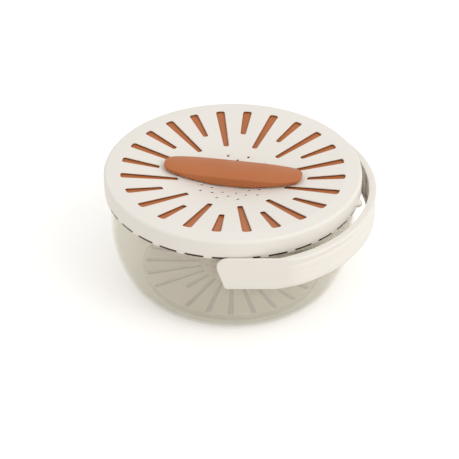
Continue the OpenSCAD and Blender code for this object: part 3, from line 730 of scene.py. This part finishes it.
class OBJECT_OT_container_colander(bpy.types.Operator):
    """Make the lift-out colander with its slotted floor and hanging rim"""
    bl_idname = "object.container_colander"
    bl_label = "Colander"

    def execute(self, context):
        k = bowl_sizes()
        outer_inset, inner_inset = k.wall + k.nest_gap, k.wall + k.nest_gap + k.basket_wall
        floor_top = k.floor_height + k.floor_thickness
        turn = lambda steps: math.radians(DRAIN_STEP * steps)
        start, third = turn(-0.5), turn(8)
        ends = [k.drain_outer] * 7 + [k.drain_short]
        holes = [lambda g, i=i, end=end: slot_outline(k.drain_inner, end, DRAIN_SLOT, g, turn(i))
                 for i, end in enumerate(ends)]
        holes += [lambda g, i=i: hole_outline(FLOOR_HOLES[i % 2], g, turn(i)) for i in range(8)]
        sector = pierced_sector(-0.5 * DRAIN_STEP, 7.5 * DRAIN_STEP, FLOOR_RINGS, holes,
                                lambda r: floor_top, lambda r: k.floor_height, 0.35)
        material = finish("colander plastic")
        floor = repeated(sector.mesh("drain sector"), 3, 0.0, third, material)
        inner_r, outer_r, lip = k.radius - inner_inset, k.radius - outer_inset, k.radius + 0.5
        top, seat, low, join = k.rim_height + 1.8, k.rim_height + 0.02, k.rim_height - 3.0, FLOOR_RINGS[-1]
        rim = rounded([(inner_r, 60, 0), (inner_r, top, 0.6), (lip + 1.2, top, 0.8), (lip + 1.2, low, 0.4),
                       (lip, low, 0.3), (lip, seat, 0.3), (outer_r, seat, 0.5), (outer_r, 60, 0)], 3)
        profile = ([(join, floor_top)] + bowl_curve(k, inner_inset, floor_top)[:-1] + rim
                   + bowl_curve(k, outer_inset, k.floor_height)[::-1][1:] + [(join, k.floor_height)])
        wall, middle = Shell().revolve(profile, AROUND, False, start), Shell()
        for height in (floor_top, k.floor_height):
            middle.revolve([(0, height), (FLOOR_RINGS[0], height)], AROUND, False, start)
        basket_mesh = join_meshes("colander", [floor, wall.mesh("wall"), middle.mesh("middle")])
        peg = Shell().loft([[(PEG_RING + x, y, z) for x, y in arc(0, 0, r, 0, 360, 24)[:-1]]
                            for r, z in ((1.9, 2.4), (2.35, 2.6), (2.5, 3.0), (2.5, k.floor_height + 0.5))])
        pegs = repeated(peg.mesh("peg"), 3, turn(7), third, material)
        mesh = join_loose("colander_form", [basket_mesh, pegs])
        basket = add_object("colander_basket", mesh, material, k.turn, 40, keep_flat=True)
        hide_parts("colander")
        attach(basket, "colander_body")
        return {"FINISHED"}


def vent_holes(k, turn):
    """One short and one long slot and three small holes, as functions that give their outline."""
    half, edge = math.pi / k.pairs, k.dish_radius - 0.4
    slots = [lambda g, r=r, t=t: slot_outline(r, edge, VENT_SLOT, g, t)
             for r, t in ((k.short_start, turn), (k.long_start, turn + half))]
    return slots + [lambda g, r=r, t=t: hole_outline(r, g, t)
                    for r, t in ((31.0, turn), (24.4, turn + half), (37.5, turn + half))]


class OBJECT_OT_container_lid(bpy.types.Operator):
    """Make the lid with its slotted dish, skirt, feet, ribs and lift tab, and the seal"""
    bl_idname = "object.container_lid"
    bl_label = "Lid and seal"

    def execute(self, context):
        k = lid_sizes()
        material = finish("cream plastic")
        pair = 360 / k.pairs
        sector = pierced_sector(-pair / 4, 3 * pair / 4, DISH_RINGS + [k.join], vent_holes(k, 0.0),
                                lambda r: dish_height(k, r), lambda r: dish_height(k, r) - k.plate, 0.7)
        dish = repeated(sector.mesh("vent sector"), k.pairs, 0.0, math.radians(pair), material)
        start = math.radians(-pair / 4)
        low, base, bottom = k.skirt_bottom, k.pad - k.plate, k.height - k.plate
        corner = rounded([(k.join, k.height, 0), (k.radius, k.height, 3.0), (k.radius, low, 0.5),
                          (k.skirt_inner, low, 0.4), (k.skirt_inner, bottom, 1.2), (k.join, bottom, 0)], 8)
        ring = Shell().revolve(corner, AROUND, False, start)
        wide, bore = COLLAR_RADIUS, SPINDLE_RADIUS + RUNNING_GAP
        above = ((HUB_JOIN, 0), (10.4, 0), (9.9, 0.15), (9.55, 0.6), (wide, 1.2), (wide, 3.5), (9.2, 4.0),
                 (6.3, 4.0), (bore, 3.7))
        below = [(bore, base + 0.3), (6.4, base), (HUB_JOIN, base)]
        hub = Shell().revolve([(r, k.pad + z) for r, z in above] + below, AROUND, False, start)
        plate = join_meshes("lid", [dish, ring.mesh("ring"), hub.mesh("hub")])
        foot_mesh = foot_shell(k, k.foot_width).mesh("skirt foot")
        pitch = 2 * math.pi / k.feet
        skipped = round((WIDE_FOOT - FIRST_FOOT) / pitch)
        feet = repeated(foot_mesh, k.feet - 1, FIRST_FOOT + pitch * (skipped + 1), pitch, material)
        wide_foot = foot_shell(k, k.wide_foot).mesh("wide foot")
        turn_mesh(wide_foot, WIDE_FOOT)
        rib_low, rib_top, (rib_in, rib_out) = 106.2, bottom + 0.3, RIB_RADII
        rib = Shell().revolve(box_section(rib_in, rib_out, rib_low, rib_top, (0.4, 0.4, 0, 0), 3))
        gusset = Shell().block((rib_out - 1, -0.8, rib_low + 0.1), (k.skirt_inner + 0.4, 0.8, rib_top))
        gussets = repeated(gusset.mesh("gusset"), 12, math.radians(15), math.radians(30), material)
        mesh = join_loose("lid_cover_form", [plate, feet, wide_foot, rib.mesh("rib"), gussets,
                                             lift_tab_shell(k).mesh("tab")])
        lid = add_object("lid_top", mesh, material, k.turn, 38, keep_flat=True)
        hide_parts("lid_cover")
        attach(lid, "lid_body")

        seal = add_object("seal_ring", join_loose("seal", seal_meshes(k)), finish("seal rubber with painted shade"), k.turn)
        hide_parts("lid_seal")
        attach(seal, "lid_body")
        return {"FINISHED"}


def arc_bar(start, end, inner, outer, low, high, soft):
    """A bar that follows the skirt from one angle to the other, its long edges and ends softened."""
    count = max(3, round((end - start) / math.radians(0.6)))
    rows = []
    section = box_section(inner, outer, low, high, [soft] * 4, 2)
    middle = (inner + outer) / 2, (low + high) / 2
    for i in range(count + 1):
        turn = start + (end - start) * i / count
        squeeze = 0.7 if i in (0, count) else 1.0
        ring = [[(v - m) * squeeze + m for v, m in zip(point, middle)] for point in section]
        rows.append([(r * math.cos(turn), r * math.sin(turn), z) for r, z in ring])
    return Shell().loft(rows)


def half_angle(k, width):
    """Half the angle that a width takes up along the middle of the skirt."""
    return width / 2 / (k.radius - 1.1)


def foot_shell(k, width):
    """A low foot under the skirt, centred on X."""
    half, high = half_angle(k, width), k.skirt_bottom + 0.7
    return arc_bar(-half, half, k.skirt_inner + 0.2, k.radius - 0.2, k.bead_top + 0.1, high, 0.2)


def seal_meshes(k):
    """The seal: a ring inside the skirt and a flange under it, cut away for the feet and the lift tab."""
    low, high = k.bead_top + 0.02, k.skirt_bottom - 0.05
    ring = Shell().revolve(box_section(115.5, k.skirt_inner - 0.05, low, high + 3, (0.3, 0.3, 0.5, 0.5), 3))
    pitch = 2 * math.pi / k.feet
    room = lambda width: half_angle(k, width + 0.3)
    turns = [FIRST_FOOT + pitch * i for i in range(-k.feet // 2, k.feet // 2)]
    taken = [(turn, room(k.foot_width)) for turn in turns if abs(turn - WIDE_FOOT) > pitch / 2]
    taken = sorted(taken + [(WIDE_FOOT, room(k.wide_foot)), (TAB, room(2 * TAB_RADIUS))])
    taken.append((taken[0][0] + 2 * math.pi, taken[0][1]))
    out = [ring.mesh("seal ring")]
    for (a, wide_a), (b, wide_b) in zip(taken, taken[1:]):
        if b - wide_b - a - wide_a > 0.01:
            out.append(arc_bar(a + wide_a, b - wide_b, 117.4, k.radius - 0.6, low, high, 0.25).mesh("flange"))
    return out


def lift_tab_shell(k):
    """Small round-ended tab at the skirt's lower edge, for lifting the lid."""
    middle, r = k.radius + TAB_OUT - TAB_RADIUS, TAB_RADIUS
    low, high = k.skirt_bottom - 1.7, k.skirt_bottom + 1.9
    outline = [(k.skirt_inner + 1.2, -r)] + arc(middle, 0, r, -90, 90, 16) + [(k.skirt_inner + 1.2, r)]
    rows = []
    c, s = math.cos(TAB), math.sin(TAB)
    for inset, z in ((0.5, low), (0.15, low + 0.15), (0.0, low + 0.5),
                     (0.0, high - 0.5), (0.15, high - 0.15), (0.5, high)):
        scale = (r - inset) / r
        ring = [(middle + (x - middle) * scale, y * scale) for x, y in outline]
        rows.append([(x * c - y * s, x * s + y * c, z) for x, y in ring])
    return Shell().loft(rows)


class OBJECT_OT_container_vents(bpy.types.Operator):
    """Make the turning vent plate and the grip bar that turns it"""
    bl_idname = "object.container_vents"
    bl_label = "Vent plate and grip bar"

    def execute(self, context):
        k = lid_sizes()
        material = finish("terracotta plastic")
        pair = 360 / k.pairs
        top = lambda r: dish_height(k, r) - k.plate - k.shutter_gap
        sector = pierced_sector(0, pair, DISH_RINGS + [k.join], vent_holes(k, math.radians(pair / 4)),
                                top, lambda r: top(r) - k.shutter, 0.4)
        plate = repeated(sector.mesh("shutter sector"), k.pairs, 0.0, math.radians(pair), material)
        flat, drop, (outer, inner) = k.height - k.plate - k.shutter_gap, 4.2, SHUTTER_EDGE
        edge = Shell().revolve(rounded([
            (k.join, flat, 0), (outer, flat, 0.6), (outer, flat - drop, 0.4), (inner, flat - drop, 0.4),
            (inner, flat - k.shutter, 0.3), (k.join, flat - k.shutter, 0)], 4), AROUND, False)
        high, low, under = k.shutter_top, k.shutter_top - 5.8, k.shutter_top - k.shutter
        hub = Shell().revolve([
            (HUB_JOIN, high), (5.75, high), (5.75, low), (8.6, low), (9.0, low + 0.4), (9.0, under - 0.8),
            (9.3, under - 0.2), (10.2, under), (HUB_JOIN, under)], AROUND, False)
        mesh = join_meshes("vent_plate_form", [plate, edge.mesh("edge"), hub.mesh("hub")])
        shutter = add_object("vent_shutter", mesh, material, k.turn, 38, keep_flat=True)
        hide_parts("vent_plate")
        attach(shutter, "vent_dial")

        bar = add_object("grip_bar", bar_mesh(k), material, k.turn, 50)
        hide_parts("bar_handle")
        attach(bar, "vent_dial")
        for name in ("retaining_screw", "screw_washer"):
            steel = frame["nodes"][name]
            steel.data.materials.clear()
            steel.data.materials.append(finish("brushed steel"))
        return {"FINISHED"}


def bar_section(width, low, top):
    """Half-round outline of the grip across its length: crowned top, upright flanks and rounded underside."""
    soft, under, crown = min(1.1, width * 0.3), min(2.6, width * 0.45), min(2.4, width * 0.3)
    rise = min(1.0, (top - low) / 8)
    soft, under, crown = soft * rise, under * rise, crown * rise
    edge = top - crown - 0.94 * soft
    half = arc(width - 0.5 * rise - under, low + under, under, -90, -8, 8)
    half += [(width, edge - 0.4 * rise)] + arc(width - soft, edge, soft, 0, 70, 6)
    reach = half[-1][0]
    half += [(reach * t, top - crown * t ** 2.2) for t in (0.93, 0.84, 0.72, 0.58, 0.42, 0.25, 0.1)]
    return half + [(-y, z) for y, z in reversed(half)]


def bar_mesh(k):
    """The grip: a long boat with a crowned top and a keel that follows the dish, and its hub below."""
    stations = 96
    half, end = k.bar_length / 2, 4.0
    rows = []
    for i in range(1, stations):
        s = -half * math.cos(math.pi * i / stations)
        over = max(0.0, abs(s) - half + end)
        cap = math.sqrt(max(0.0, 1 - (over / end) ** 2))
        width = k.bar_width / 2 * (1 - abs(s / half) ** 4) ** (1 / 3)
        low = k.pad + k.slope * ramp(abs(s) - k.pad_radius, 4.0) + 1.3
        middle = low + 0.6 * (k.bar_top - low)
        top, base = middle + (k.bar_top - middle) * cap, middle - (middle - low) * cap
        rows.append([(s, y, z) for y, z in bar_section(width, base, top)])
    body = Shell().loft(rows).mesh("bar")
    turn_mesh(body, k.bar_turn)
    foot, head, stem = 98.5, 107.0, SPINDLE_RADIUS
    hub = Shell().revolve(box_section(9.8, 14.0, 101.0, 104.6, (0.4, 0.8, 0, 0), 4), stations)
    spindle = Shell().revolve([(0, foot), (stem - 0.4, foot), (stem, foot + 0.4), (stem, head), (0, head)],
                              stations, False)
    drive = Shell().block((-4, -4, 93.0), (4, 4, foot + 0.5))
    return join_loose("grip_bar_form", [body, hub.mesh("hub"), spindle.mesh("spindle"), drive.mesh("drive")])


def ease(x, start, end):
    """0 before start, 1 after end, with a soft step between."""
    t = min(1.0, max(0.0, (x - start) / (end - start)))
    return t * t * (3 - 2 * t)


def arm_limits(k, x, inset):
    """Lowest and highest point of the arm's outline at a distance along it, drawn in by an inset."""
    lean = math.atan2(k.band_height, k.arm_slant)
    round_x = k.arm_round / math.tan(lean / 2) - k.arm_tail
    corner_x = k.arm_slant - k.arm_tail + k.arm_corner * math.tan(lean / 2)
    upper, lower = k.arm_round - inset, k.arm_corner - inset
    high, low = k.band_top - inset, k.low + inset
    if x < round_x:
        high = k.band_top - k.arm_round + math.sqrt(max(0.0, upper ** 2 - (x - round_x) ** 2))
    if x < round_x - upper * math.sin(lean):
        low = k.band_top - k.arm_round - math.sqrt(max(0.0, upper ** 2 - (x - round_x) ** 2))
    elif x < corner_x - lower * math.sin(lean):
        low = k.band_top - (x + k.arm_tail) * math.tan(lean) + inset / math.cos(lean)
    elif x < corner_x:
        low = k.low + k.arm_corner - math.sqrt(max(0.0, lower ** 2 - (x - corner_x) ** 2))
    return low, high


def band_path(k):
    """Points of the band's outer face from one arm's end to the other's, each with its inward direction."""
    turn_x = math.sqrt((k.outer_radius - k.bend_radius) ** 2 - (k.arm_face - k.bend_radius) ** 2)
    last = math.atan2(k.arm_face - k.bend_radius, turn_x)
    tip = k.arm_round / math.tan(math.atan2(k.band_height, k.arm_slant) / 2) - k.arm_tail - k.arm_round
    near, path = 6, []
    for i in range(22):
        reach = 1 - math.cos(math.pi / 2 * (i + 0.35) / 22)
        path.append((tip + (near - tip) * reach, k.arm_face, 0.0, -1.0))
    path += [(near + (turn_x - near) * i / 16, k.arm_face, 0.0, -1.0) for i in range(16)]
    for i in range(8):
        a = math.pi / 2 + (last - math.pi / 2) * i / 8
        x, y = math.cos(a), math.sin(a)
        path.append((turn_x + k.bend_radius * x, k.arm_face - k.bend_radius + k.bend_radius * y, -x, -y))
    for i in range(66):
        x, y = math.cos(last * (1 - i / 66)), math.sin(last * (1 - i / 66))
        path.append((k.outer_radius * x, k.outer_radius * y, -x, -y))
    path.append((k.outer_radius, 0.0, -1.0, 0.0))
    return [(x, -y, nx, -ny) for x, y, nx, ny in path] + path[-2::-1], tip, turn_x


def band_depth(k, x, y, nx, ny):
    """Depth of the band from its outer face to the grip's inner radius or the arm's inner face."""
    along, gap = x * nx + y * ny, x * x + y * y - k.inner_radius ** 2
    root = along * along - gap
    near = -along - math.sqrt(root) if root > 0 else 0.0
    return max(near, k.arm_wall if abs(ny) > 0.999 else 0.0)


def skin_relief(height, grip, ridges):
    """How far the band's outer face lies in at a height: a finger groove under the lip and three lines."""
    groove = sum(depth * math.exp(-((height - at) / width) ** 2) for depth, at, width in GROOVES)
    lines = sum(math.exp(-((height - at) / LINE_WIDTH) ** 2) for at in LINE_HEIGHTS)
    return grip * groove + ridges * LINE_DEPTH * lines


def band_row(k, place, tip, turn_x):
    """Closed outline of the band at one place of its path: outer skin, top, hollow inner side, bottom."""
    x, y, nx, ny = place
    depth = band_depth(k, x, y, nx, ny)
    grip = ease(x, *GRIP_EASE)
    ridges = ease(x, *LINES_START) * (1 - ease(x, *LINES_END))
    under = 0.5 + (k.grip_round - 0.5) * ease(x, *LIP_EASE)
    over = 0.5 + 1.2 * grip
    back = depth - 2.8 * min(1.0, max(0.0, (depth - k.arm_wall) / (k.grip_depth - k.arm_wall)))
    straight = abs(y) > k.arm_face - 1e-6

    def point(d, share):
        soft = over if share > 0.5 else under
        inset = soft - math.sqrt(max(0.0, soft ** 2 - max(0.0, soft - d) ** 2))
        inner = 0.5 - math.sqrt(max(0.0, 0.25 - max(0.0, 0.5 - (depth - d)) ** 2))
        inset = max(inset, inner) if d > depth - 0.5 else inset
        px = x
        if straight:
            px = x + inset * (turn_x - x) / (turn_x - tip)
            low, high = arm_limits(k, px, inset)
        else:
            low, high = k.low + inset, k.band_top - inset
        z = low + (high - low) * share
        if d == 0.0:
            d += skin_relief(z - k.low, grip, ridges)
        return (px + nx * d, y + ny * d, z)

    flange = k.arm_wall / k.band_height
    row = [point(0.0, i / 80) for i in range(81)]
    row += [point(min(d, depth), 1.0) for d in over_steps(over, depth)]
    row += [point(depth, 1 - flange), point(back, 1 - flange)]
    row += [point(back, 1 - flange - (1 - 2 * flange) * i / 6) for i in range(1, 6)]
    row += [point(back, flange), point(depth, flange)]
    row += [point(min(d, depth), 0.0) for d in reversed(over_steps(under, depth))]
    return row


def over_steps(soft, depth):
    """Depths at which a rounded edge and the small edge behind it get points."""
    return ([soft * (1 - math.cos(math.radians(a))) for a in (22, 38, 52, 64, 76, 90)]
            + [max(depth - 0.5, 0), depth - 0.3, depth - 0.12, depth])


class OBJECT_OT_container_handle(bpy.types.Operator):
    """Make the swinging carry handle: two flat arms with pivot pads and a hollow curved grip with ribs"""
    bl_idname = "object.container_handle"
    bl_label = "Carry handle"

    def execute(self, context):
        k = handle_sizes()
        material = finish("cream plastic")
        path, tip, turn_x = band_path(k)
        band = Shell().loft([band_row(k, place, tip, turn_x) for place in path])
        near = k.inner_radius + 1
        rib = Shell().block((near, -0.8, k.low + 2), (near + 2.4, 0.8, k.band_top - 1.9))
        step = math.radians(110) / (k.ribs - 1)
        ribs = repeated(rib.mesh("rib"), k.ribs, -step * (k.ribs - 1) / 2, step, material)
        parts = [band.mesh("band", WELD / 2), ribs]
        bore, pad, face, sunk = k.pin_radius + RUNNING_GAP, k.pad_radius, k.pad_face, k.inner_face + 0.4
        for side in (-1, 1):
            parts.append(turned_part(k, side, [
                (bore + 0.3, face), (pad - 0.4, face), (pad, face + 0.4), (pad, sunk), (bore, sunk),
                (bore, face + 0.3)], ring=True).mesh("pad"))
            tooth = Shell().block((pad - 1, -2, face + 1), (pad + 2.8, 2, sunk),
                                  lambda p: at_pivot(k, side, STOP_TURN, p))
            parts.append(tooth.mesh("tooth"))
        handle = add_object("carry_band", join_loose("carry_handle_form", parts), material, sharp=40)
        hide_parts("carry_handle")
        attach(handle, "carry_handle_body")
        return {"FINISHED"}


def any_of(tree, *rays):
    """1 for rays of the given kinds, 0 for the rest."""
    path = tree.nodes.new("ShaderNodeLightPath")
    found, *others = [path.outputs[ray] for ray in rays]
    for other in others:
        found = node(tree, "ShaderNodeMath", {0: found, 1: other}, operation="MAXIMUM")
    return found


def floor_surface(tree):
    """Matte floor that glows a little for the camera and in what it sees mirrored or through the plastic."""
    seen = any_of(tree, "Is Camera Ray", "Is Glossy Ray", "Is Transmission Ray")
    strength = node(tree, "ShaderNodeMath", {0: seen, 1: FLOOR_GLOW}, operation="MULTIPLY")
    return node(tree, "ShaderNodeAddShader", {
        0: node(tree, "ShaderNodeBsdfDiffuse", {"Color": FLOOR_COLOUR}),
        1: node(tree, "ShaderNodeEmission", {"Color": FLOOR_GLOW_COLOUR, "Strength": strength})})


# The stage, in metres. The floor's glow and a room that is white for the camera make the background white,
# and the floor still takes the object's shadow.
FLOOR_HEIGHT = -0.0002
FLOOR_COLOUR, FLOOR_GLOW_COLOUR, FLOOR_GLOW = (0.87, 0.853, 0.82, 1), (0.96, 0.98, 1.0, 1), 0.3
ROOM_COLOUR, ROOM_LIGHT = (1.0, 0.995, 0.985, 1), 0.86
LAMPS = (("key", (1.05, -0.65, 1.2), 1.1, 8.9), ("fill", (-1.2, -0.6, 0.8), 1.2, 1.0))
CLEAR_FACES = 16                # see-through faces that a ray may pass, for there are many behind each other
LENS = (113.94, 36.0)           # focal length and sensor width in millimetres
LOOKED_AT, EYE_SLANT, EYE_DISTANCE = Vector((-0.003118, 0, 0.04358)), math.radians(34.92), 1.3893


class OBJECT_OT_container_stage(bpy.types.Operator):
    """Set up the pale floor, the soft lights and the camera"""
    bl_idname = "object.container_stage"
    bl_label = "Stage"

    def execute(self, context):
        scene = context.scene
        scene.view_settings.view_transform = "Standard"
        scene.cycles.transparent_max_bounces = CLEAR_FACES
        mesh = bpy.data.meshes.new("floor")
        corners = [(x, y, FLOOR_HEIGHT) for x, y in ((-6, -6), (6, -6), (6, 6), (-6, 6))]
        mesh.from_pydata(corners, [], [(0, 1, 2, 3)])
        floor = bpy.data.objects.new("floor", mesh)
        scene.collection.objects.link(floor)
        mesh.materials.append(new_material("pale floor", floor_surface))

        world = bpy.data.worlds.new("studio")
        scene.world = world
        world.use_nodes = True
        tree = world.node_tree
        tree.nodes.clear()
        light = node(tree, "ShaderNodeMix", {
            "Factor": any_of(tree, "Is Camera Ray", "Is Glossy Ray"), "A": ROOM_LIGHT, "B": 1.0}, "Result")
        back = node(tree, "ShaderNodeBackground", {"Color": ROOM_COLOUR, "Strength": light})
        node(tree, "ShaderNodeOutputWorld", {"Surface": back})

        for name, place, size, power in LAMPS:
            lamp = bpy.data.lights.new(name, "AREA")
            lamp.size, lamp.energy = size, power
            holder = bpy.data.objects.new(name, lamp)
            holder.location = place
            holder.rotation_euler = (Vector((0, 0, 0.06)) - Vector(place)).to_track_quat("-Z", "Y").to_euler()
            scene.collection.objects.link(holder)

        eye = bpy.data.objects.new("camera", bpy.data.cameras.new("camera"))
        eye.data.lens, eye.data.sensor_width = LENS
        eye.data.clip_start, eye.data.clip_end = 0.05, 30
        eye.location = LOOKED_AT + EYE_DISTANCE * Vector((0, -math.cos(EYE_SLANT), math.sin(EYE_SLANT)))
        eye.rotation_euler = (math.pi / 2 - EYE_SLANT, 0, 0)
        scene.collection.objects.link(eye)
        scene.camera = eye
        return {"FINISHED"}


class VIEW3D_PT_container(bpy.types.Panel):
    """Sizes, colours and steps of the storage container"""
    bl_idname = "VIEW3D_PT_container"
    bl_label = "Storage container"
    bl_space_type = "VIEW_3D"
    bl_region_type = "UI"
    bl_category = "Container"

    def draw(self, context):
        for group in ("bowl_settings", "lid_settings", "handle_settings", "finish_settings"):
            box = self.layout.box()
            settings = getattr(context.scene, group)
            for name in settings.bl_rna.properties.keys():
                if name not in {"rna_type", "name"}:
                    box.prop(settings, name)
        for step in STEPS:
            self.layout.operator(step.bl_idname)


SETTINGS = {"bowl_settings": BowlSettings, "lid_settings": LidSettings, "handle_settings": HandleSettings,
            "finish_settings": FinishSettings}
STEPS = (OBJECT_OT_container_bowl, OBJECT_OT_container_colander, OBJECT_OT_container_lid,
         OBJECT_OT_container_vents, OBJECT_OT_container_handle, OBJECT_OT_container_stage)


def register():
    for item in (*SETTINGS.values(), *STEPS, VIEW3D_PT_container):
        bpy.utils.register_class(item)
    for name, group in SETTINGS.items():
        setattr(bpy.types.Scene, name, PointerProperty(type=group))


def unregister():
    for name in SETTINGS:
        delattr(bpy.types.Scene, name)
    for item in (VIEW3D_PT_container, *reversed(STEPS), *reversed(tuple(SETTINGS.values()))):
        bpy.utils.unregister_class(item)


def main():
    register()
    bpy.ops.object.container_bowl()
    bpy.ops.object.container_colander()
    bpy.ops.object.container_lid()
    bpy.ops.object.container_vents()
    bpy.ops.object.container_handle()
    bpy.ops.object.container_stage()
    bpy.context.view_layer.update()


if __name__ == "__main__":
    main()
